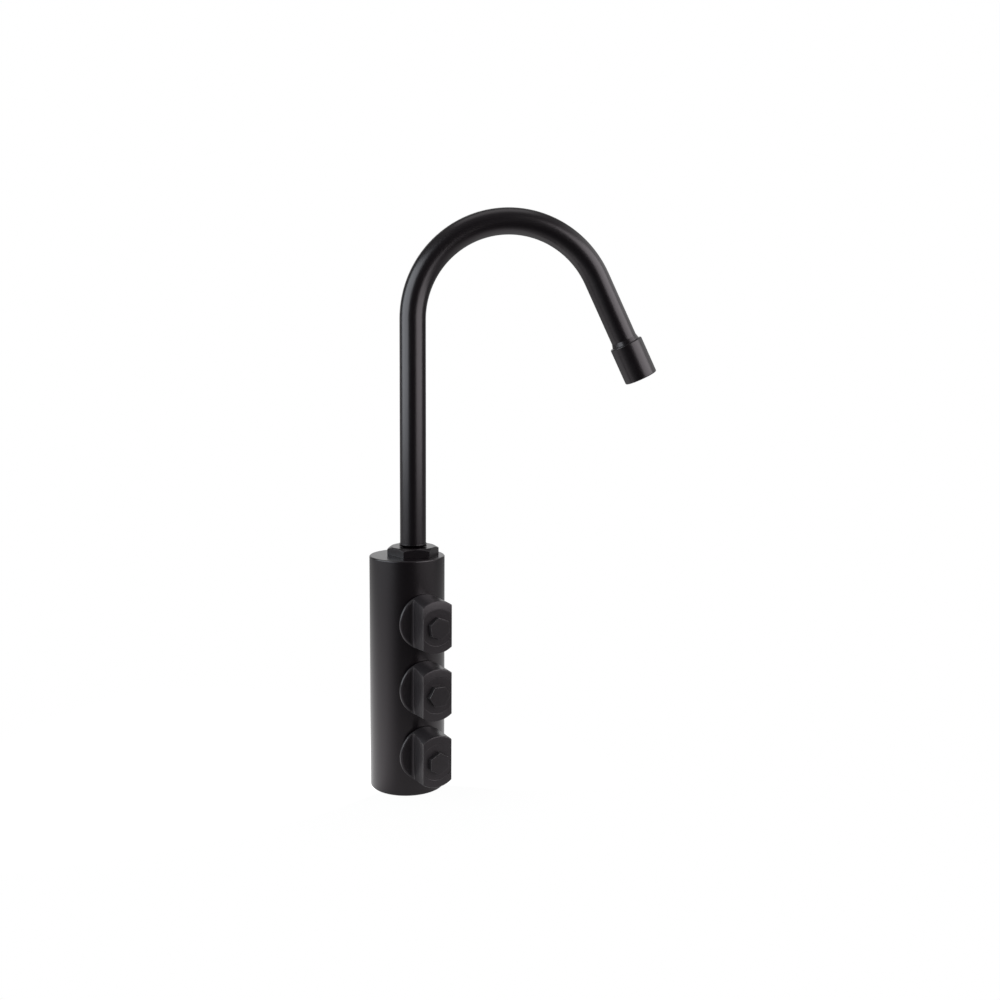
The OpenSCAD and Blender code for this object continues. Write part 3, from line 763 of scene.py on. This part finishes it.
class TAP_OT_spout(bpy.types.Operator):
    """Turns the swivel stem and bends the swan-neck tube"""

    bl_idname = "tap.spout"
    bl_label = "Swan-neck spout"

    def execute(self, context):
        spout = context.scene.tap_spout
        for piece, node in ((self.stem(spout), "spout_stem"), (self.tube(spout), "spout_tube")):
            hand_over(piece, "spout", "black_coat", powder_coat, node)
        return {"FINISHED"}

    def stem(self, spout):
        """The foot that swivels in the socket, the neck in the nut, the lip and the spigot."""
        neck, lip, lip_z, tube_z = in_mm(spout, "neck", "lip", "lip_height", "start")
        spigot, hole = (spout.tube - spout.wall) / MM - 0.05, neck - 1.1
        foot, foot_z, shoulder, spigot_z = 8.9, 124.6, 134.4, tube_z + 7
        groove, half_groove = 7.05, 1.1
        grooves = []
        for z in (127, 131):
            low, high = z - half_groove, z + half_groove
            grooves += [(foot, low), (groove, low, 0.2), (groove, high, 0.2), (foot, high)]
        stem = turned("swivel_stem", [
            (hole, foot_z), (foot - 0.5, foot_z), (foot, foot_z + 0.6), *grooves,
            (foot, shoulder, 0.2), (neck, shoulder), (neck, lip_z - (lip - neck), 0.3),
            (lip, lip_z, 0.15), (lip, tube_z, 0.12), (spigot, tube_z), (spigot, spigot_z, 0.3),
            (hole, spigot_z),
        ])
        put(stem, spout_place(spout))
        return stem

    def tube(self, spout):
        """A ring of points drawn upwards, spun through the bend and drawn along the leg."""
        let_go()
        bpy.ops.mesh.primitive_circle_add(
            vertices=96, radius=spout.tube, location=(spout.offset, 0, spout.start))
        tube = bpy.context.object
        tube.name = tube.data.name = "swan_tube"
        bpy.ops.object.transform_apply(location=True)
        bpy.ops.object.mode_set(mode="EDIT")
        bpy.ops.mesh.select_mode(type="EDGE")
        bpy.ops.mesh.select_all(action="SELECT")
        rise = Vector((0, 0, (spout.bend_height - spout.start) / RISE_STEPS))
        for _ in range(RISE_STEPS):
            bpy.ops.mesh.extrude_region_move(TRANSFORM_OT_translate={"value": rise})
        bpy.ops.mesh.spin(
            steps=72, angle=-spout.sweep, axis=(0, 1, 0),
            center=(spout.offset + spout.bend, 0, spout.bend_height))
        along = Vector((math.sin(spout.sweep), 0, math.cos(spout.sweep))) * spout.leg / 2
        for _ in range(2):
            bpy.ops.mesh.extrude_region_move(TRANSFORM_OT_translate={"value": along})
        bpy.ops.mesh.select_all(action="SELECT")
        bpy.ops.mesh.remove_doubles(threshold=2 * CLOSE)
        bpy.ops.mesh.normals_make_consistent(inside=False)
        bpy.ops.object.mode_set(mode="OBJECT")
        modify(tube, "SOLIDIFY", thickness=spout.wall, offset=-1)
        return tube


class TAP_OT_outlet(bpy.types.Operator):
    """Turns the collar, the outlet shell and the insert with its ring of jets"""

    bl_idname = "tap.outlet"
    bl_label = "Outlet"

    def execute(self, context):
        spout = context.scene.tap_spout
        plans = (
            (self.collar(spout), "black_coat", powder_coat, "outlet_collar"),
            (self.sleeve(spout), "black_coat", powder_coat, "aerator_housing"),
            (self.insert(spout), "insert_plastic", insert_plastic, "aerator_insert"),
        )
        for piece, slot, maker, node in plans:
            put(piece, leg_place(spout))
            hand_over(piece, "spout", slot, maker, node)
        return {"FINISHED"}

    def collar(self, spout):
        """The flare brazed over the tube's end, with the thread that carries the shell."""
        tube, shell, start, leg = in_mm(spout, "tube", "shell", "shell_start", "leg")
        inner, flare, thread, bore = tube + 0.05, tube + 0.7, shell - 1.05, tube - 1
        return turned("outlet_flare", [
            (inner, start - 2.4), (tube + 0.15, start - 2.4), (flare, start - 0.1, 0.2),
            (flare, start), (thread, start), (thread, leg + 3), (bore, leg + 3),
            (bore, leg), (inner, leg),
        ])

    def sleeve(self, spout):
        """The round outlet shell, with the ledge that holds the insert in."""
        shell, start, long, edge = in_mm(
            spout, "shell", "shell_start", "shell_length", "shell_edge")
        bore, end = shell - 1, start + long
        ledge, ledge_z = bore - 1.3, end - 1.4
        return turned("outlet_shell", [
            (bore, start), (shell, start, edge), (shell, end, edge), (ledge, end, 0.2),
            (ledge, ledge_z), (bore, ledge_z),
        ])

    def insert(self, spout):
        """The moulded insert, with a middle nozzle in a groove and a ring of jets."""
        shell, start, long, leg = in_mm(spout, "shell", "shell_start", "shell_length", "leg")
        bore, end = shell - 1, start + long
        outer, ledge_z = bore - 0.05, end - 1.4
        mouth, face, groove = bore - 1.35, end - 0.4, end - 0.9
        insert = turned("jet_insert", [
            (0, leg + 4.5), (outer, leg + 4.5), (outer, ledge_z), (mouth, ledge_z),
            (mouth, face, 0.25), (4.0, face, 0.2), (3.7, groove, 0.2), (3.1, groove, 0.2),
            (2.9, face, 0.15), (0, face),
        ], closed=False)
        nozzle, jet, jet_circle, deep = 2.0, 0.9, 5.2, 24
        carve(insert, rod("nozzle", nozzle, deep, 48, Matrix.Translation((0, 0, end * MM))))
        shift = Matrix.Translation((jet_circle * MM, 0, end * MM))
        for i in range(spout.jets):
            turn = Matrix.Rotation(math.tau * i / spout.jets, 4, "Z")
            carve(insert, rod("jet", jet, deep, 24, turn @ shift))
        return insert


class TAP_OT_knobs(bpy.types.Operator):
    """Turns one knob, mills its two sides, and copies it onto the three valves"""

    bl_idname = "tap.knobs"
    bl_label = "Knobs"

    def execute(self, context):
        knobs = context.scene.tap_knobs
        first = self.turn_and_mill(knobs)
        for valve, height in zip(VALVES, knobs.heights):
            knob = copy_of(first, valve + "_grip")
            put(knob, valve_place(knobs, height))
            hand_over(knob, valve + "_valve", "black_coat", knob_coat_painted_lighter, valve + "_knob")
        bpy.data.objects.remove(first)
        return {"FINISHED"}

    def turn_and_mill(self, knobs):
        """The knob, standing on +Z around its own axis."""
        back, floor, face = in_mm(knobs, "back", "floor", "face")
        flange, drum, crown = in_mm(knobs, "flange", "drum", "crown")
        seat, seat_floor = in_mm(knobs, "seat", "seat_floor")
        screw_hole, spindle_hole, spindle_end = 3.2, 4.85, 36.6
        pocket, pocket_end = 6.75, 28.4

        def crown_at(radius):
            return face - crown + math.sqrt(crown ** 2 - radius ** 2)

        domed = [(radius, crown_at(radius)) for radius in (seat + 0.8, seat + 2, seat + 3.2)]
        knob = turned("knob", [
            (screw_hole, seat_floor), (seat, seat_floor, 0.08), (seat, crown_at(seat), 0.14),
            *domed, (drum, crown_at(drum), 0.7), (flange, floor), (flange, back, 0.3),
            (pocket, back, 0.2), (pocket, pocket_end), (spindle_hole, pocket_end),
            (spindle_hole, spindle_end), (screw_hole, spindle_end),
        ], steps=144)
        for side in (-1, 1):
            carve(knob, self.mill(knobs, side))
            carve(knob, self.rim(knobs, side))
        self.ease_corners(knob, knobs.edge)
        return knob

    def ease_corners(self, knob, width):
        """Rounds the four upright corners where the milled sides meet the turned ones."""
        merge_near(knob, 0.005)
        bpy.ops.mesh.select_mode(type="EDGE")
        bpy.ops.mesh.select_all(action="DESELECT")
        bpy.ops.mesh.edges_select_sharp(sharpness=math.radians(40))
        bpy.ops.object.mode_set(mode="OBJECT")
        mesh, upright = knob.data, 8 * MM
        for edge in mesh.edges:
            low, high = (mesh.vertices[v].co.z for v in edge.vertices)
            edge.select = edge.select and abs(high - low) > upright
        bpy.ops.object.mode_set(mode="EDIT")
        bpy.ops.mesh.bevel(offset=width, segments=2, affect="EDGES", clamp_overlap=True)
        let_go()

    def mill(self, knobs, side):
        """What one pass of the mill takes away, on one side of the knob."""
        floor, foot, fillet, bevel = in_mm(knobs, "floor", "grip_foot", "fillet", "bevel")
        top, outside = knobs.face / MM + 6, side * 30
        lean = (knobs.grip - knobs.grip_foot) / (knobs.face - knobs.floor)
        face = (knobs.face / MM - knobs.crown / MM
                + math.sqrt(knobs.crown ** 2 - knobs.grip ** 2) / MM)
        across = foot + lean * (face - bevel - floor) - bevel
        round_off = reversed(self.quarter(across, face - bevel, bevel))
        return bar("mill", [
            (outside, floor), (side * foot, floor, fillet), *[(side * x, z) for x, z in round_off],
            (side * across, face + 0.04), (side * across, top), (outside, top),
        ])

    def rim(self, knobs, side):
        """What rounds the flange's rim beside the grip."""
        flange, floor, rim, foot = in_mm(knobs, "flange", "floor", "rim", "grip_foot")
        start, above = flange - rim, floor + 0.05
        ring = turned("rim", [
            (start, floor), *self.quarter(start, floor - rim, rim), (flange + 1, floor - rim),
            (flange + 1, above), (start, above),
        ], steps=144)
        near, far, low, high = side * foot, side * foot + side * 30, floor - 3, floor + 3
        carve(ring, bar("side", [(near, low), (far, low), (far, high), (near, high)]), "INTERSECT")
        return ring

    def quarter(self, across, along, radius):
        """Points of a quarter circle from its top to its outer side."""
        turns = [math.radians(90 - 15 * k) for k in range(1, 7)]
        return [(across + radius * math.cos(t), along + radius * math.sin(t)) for t in turns]


class TAP_OT_screws(bpy.types.Operator):
    """Makes one hexagon-head screw and copies it into the three knobs"""

    bl_idname = "tap.screws"
    bl_label = "Knob screws"

    def execute(self, context):
        knobs = context.scene.tap_knobs
        seat, high, half, long = in_mm(
            knobs, "seat_floor", "screw_head", "screw", "screw_length")
        head = rod("screw", half * 2 / math.sqrt(3), high, 6,
                   Matrix.Translation((0, 0, (seat + high / 2) * MM))
                   @ Matrix.Rotation(math.radians(-30), 4, "Z"))
        shank, point, tip, top = 2.95, 2.5, seat - long, seat + 0.3
        carve(head, turned("shank", [
            (0, tip), (point, tip), (shank, tip + 0.5), (shank, top), (0, top),
        ], closed=False, steps=48), "UNION")
        break_edges(head, 0.32)
        for valve, height, turn in zip(VALVES, knobs.heights, knobs.screw_turns):
            screw = copy_of(head, valve + "_hex_screw")
            put(screw, valve_place(knobs, height) @ Matrix.Rotation(turn, 4, "Z"))
            hand_over(screw, valve + "_valve", "black_screw", blackened_steel,
                      valve + "_knob_screw")
        bpy.data.objects.remove(head)
        return {"FINISHED"}


class TAP_OT_inner(bpy.types.Operator):
    """Gives the seals, discs, spindles and headwork inside the tap their finishes"""

    bl_idname = "tap.inner"
    bl_label = "Inner parts"

    def execute(self, context):
        plans = {
            "base_seal": rubber, "spout_orings": rubber, "aerator_washer": rubber,
            "thrust_ring": slip_plastic, "filtered_liner": liner_plastic,
            "aerator_screen": steel_mesh,
        }
        for valve in VALVES:
            plans.update({
                valve + "_bonnet": brass, valve + "_bonnet_washer": rubber,
                valve + "_seat_seal": rubber, valve + "_fixed_disc": ceramic,
                valve + "_moving_disc": ceramic, valve + "_spindle": brass,
                valve + "_spindle_orings": rubber,
            })
        for node, maker in plans.items():
            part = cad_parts[node]
            if not part.material_slots:
                part.data.materials.append(None)
            for slot in part.material_slots:
                slot.material = maker(context.scene.tap_colours)
        return {"FINISHED"}


# The stage


class TAP_OT_stage(bpy.types.Operator):
    """Sets the camera, the pale floor, the white surroundings and the soft lamps"""

    bl_idname = "tap.stage"
    bl_label = "Stage"

    def execute(self, context):
        self.camera(context)
        self.floor(context)
        self.surroundings(context)
        for name, values in LAMPS.items():
            self.lamp(name, *values)
        context.scene.view_settings.view_transform = "Standard"
        return {"FINISHED"}

    def camera(self, context):
        """The camera, where it stood for the photograph."""
        bpy.ops.object.camera_add(
            location=(-0.02704, -0.6518, 0.25844),
            rotation=[math.radians(a) for a in (82.7347, -0.4661, -7.1942)])
        camera = context.object
        camera.name = "camera"
        camera.data.sensor_width = 36
        camera.data.lens = 39.569
        camera.data.clip_start = 0.01
        context.scene.camera = camera
        let_go()

    def lamp(self, name, place, target, wide, tall, watts, colour):
        """A soft rectangular lamp that faces a point."""
        aim = (Vector(target) - Vector(place)).to_track_quat("-Z", "Y").to_euler()
        bpy.ops.object.light_add(type="AREA", location=place, rotation=aim)
        lamp = bpy.context.object
        lamp.name = name
        lamp.data.shape = "RECTANGLE"
        lamp.data.size, lamp.data.size_y = wide, tall
        lamp.data.energy = watts
        lamp.data.color = colour
        let_go()

    def floor(self, context):
        """A pale floor that keeps the shadow and fades into the white around it, and glows in the
        tap's reflections as a painted reflection.
        """
        bpy.ops.mesh.primitive_circle_add(vertices=96, radius=12, fill_type="NGON")
        floor = context.object
        floor.name = floor.data.name = "pale_floor"
        material = bpy.data.materials.new("pale_floor")
        material.use_nodes = True
        tree = material.node_tree
        shader = tree.nodes["Principled BSDF"]
        shader.inputs["Roughness"].default_value = 0.9
        shader.inputs["Specular IOR Level"].default_value = 0.0
        shader.inputs["Base Color"].default_value = (*context.scene.tap_colours.floor, 1)
        path = tree.nodes.new("ShaderNodeLightPath")
        camera, mirrored = path.outputs["Is Camera Ray"], path.outputs["Is Glossy Ray"]
        where = coordinates(tree)
        away = vector_math(tree, "LENGTH", where).outputs["Value"]
        glow = tree.nodes.new("ShaderNodeEmission")
        glow.inputs["Color"].default_value = (1, 1, 1, 1)
        # The floor glows for mirrored rays though it is no lamp: a painted reflection on the tap
        level = larger(tree, camera, self.floor_in_reflections(tree, where, away))
        tree.links.new(level, glow.inputs["Strength"])
        blend = tree.nodes.new("ShaderNodeMixShader")
        far = stretch(tree, away, 0.025, 0.1, 0.97, 1.0)
        tree.links.new(times(tree, larger(tree, camera, mirrored), far), blend.inputs["Fac"])
        tree.links.new(shader.outputs["BSDF"], blend.inputs[1])
        tree.links.new(glow.outputs["Emission"], blend.inputs[2])
        tree.links.new(blend.outputs["Shader"], tree.nodes["Material Output"].inputs["Surface"])
        floor.data.materials.append(material)
        let_go()

    def floor_in_reflections(self, tree, where, away):
        """How bright the floor glows in the tap's reflections, a painted reflection: dim toward
        the camera and far off, as there.
        """
        toward = vector_math(tree, "NORMALIZE", where).outputs["Vector"]
        ahead = vector_math(tree, "DOT_PRODUCT", toward, TO_CAMERA).outputs["Value"]
        parts = tree.nodes.new("ShaderNodeSeparateXYZ")
        tree.links.new(toward, parts.inputs[0])
        sides = stretch(tree, ahead, 0.26, 0.84, 0.65, 0.07)
        sides = times(tree, sides, stretch(tree, parts.outputs["X"], -0.7, -0.1, 1.5, 1.0))
        sides = times(tree, sides, stretch(tree, away, 0.3, 0.8, 1.0, 0.35))
        return plus(tree, sides, stretch(tree, away, 0.06, 0.3, 0.5, 0.0))

    def surroundings(self, context):
        """White where the camera looks, white behind the tap in reflections, dim in front."""
        world = bpy.data.worlds.new("surroundings")
        context.scene.world = world
        world.use_nodes = True
        tree = world.node_tree
        tree.nodes.clear()
        parts = tree.nodes.new("ShaderNodeSeparateXYZ")
        tree.links.new(coordinates(tree, "Generated"), parts.inputs[0])
        x, y, z = (parts.outputs[axis] for axis in "XYZ")
        behind = stretch(tree, y, 0.72, 0.94, 0.05, 1.0)
        above = plus(tree, stretch(tree, z, 0.4, 0.95, 0.0, 0.25), 0.05)
        corner = times(tree, stretch(tree, z, 0.1, 0.35, 0.0, 1.2),
                       stretch(tree, x, 0.45, 0.75, 0.0, 1.0))
        path = tree.nodes.new("ShaderNodeLightPath")
        mirrored = times(tree, path.outputs["Is Glossy Ray"],
                         larger(tree, larger(tree, behind, above), corner))
        level = plus(tree, mirrored, times(tree, path.outputs["Is Diffuse Ray"], 0.15))
        level = larger(tree, level, path.outputs["Is Camera Ray"])
        shade = tree.nodes.new("ShaderNodeBackground")
        shade.inputs["Color"].default_value = (1, 1, 1, 1)
        out = tree.nodes.new("ShaderNodeOutputWorld")
        tree.links.new(level, shade.inputs["Strength"])
        tree.links.new(shade.outputs["Background"], out.inputs["Surface"])


STEPS = (TAP_OT_body, TAP_OT_nut, TAP_OT_spout, TAP_OT_outlet, TAP_OT_knobs, TAP_OT_screws,
         TAP_OT_inner, TAP_OT_stage)
GROUPS = {"tap_body": TapBodySizes, "tap_knobs": TapKnobSizes, "tap_spout": TapSpoutSizes,
          "tap_colours": TapColours}


class TAP_PT_panel(bpy.types.Panel):
    """Lists the steps that make the tap, and their settings"""

    bl_idname = "TAP_PT_panel"
    bl_label = "Three-way tap"
    bl_space_type = "VIEW_3D"
    bl_region_type = "UI"
    bl_category = "Tap"

    def draw(self, context):
        for step in STEPS:
            self.layout.operator(step.bl_idname)
        for name, group in GROUPS.items():
            box = self.layout.box()
            settings = getattr(context.scene, name)
            for title in group.__annotations__:
                box.prop(settings, title)


def register():
    """Adds the settings, the operators and the panel."""
    for name, group in GROUPS.items():
        bpy.utils.register_class(group)
        setattr(bpy.types.Scene, name, bpy.props.PointerProperty(type=group))
    for step in (*STEPS, TAP_PT_panel):
        bpy.utils.register_class(step)


def unregister():
    """Takes them away again."""
    for step in (TAP_PT_panel, *reversed(STEPS)):
        bpy.utils.unregister_class(step)
    for name, group in GROUPS.items():
        delattr(bpy.types.Scene, name)
        bpy.utils.unregister_class(group)


def main():
    """Makes the tap step by step."""
    register()
    for step in STEPS:
        area, action = step.bl_idname.split(".")
        getattr(getattr(bpy.ops, area), action)()


if __name__ == "__main__":
    main()
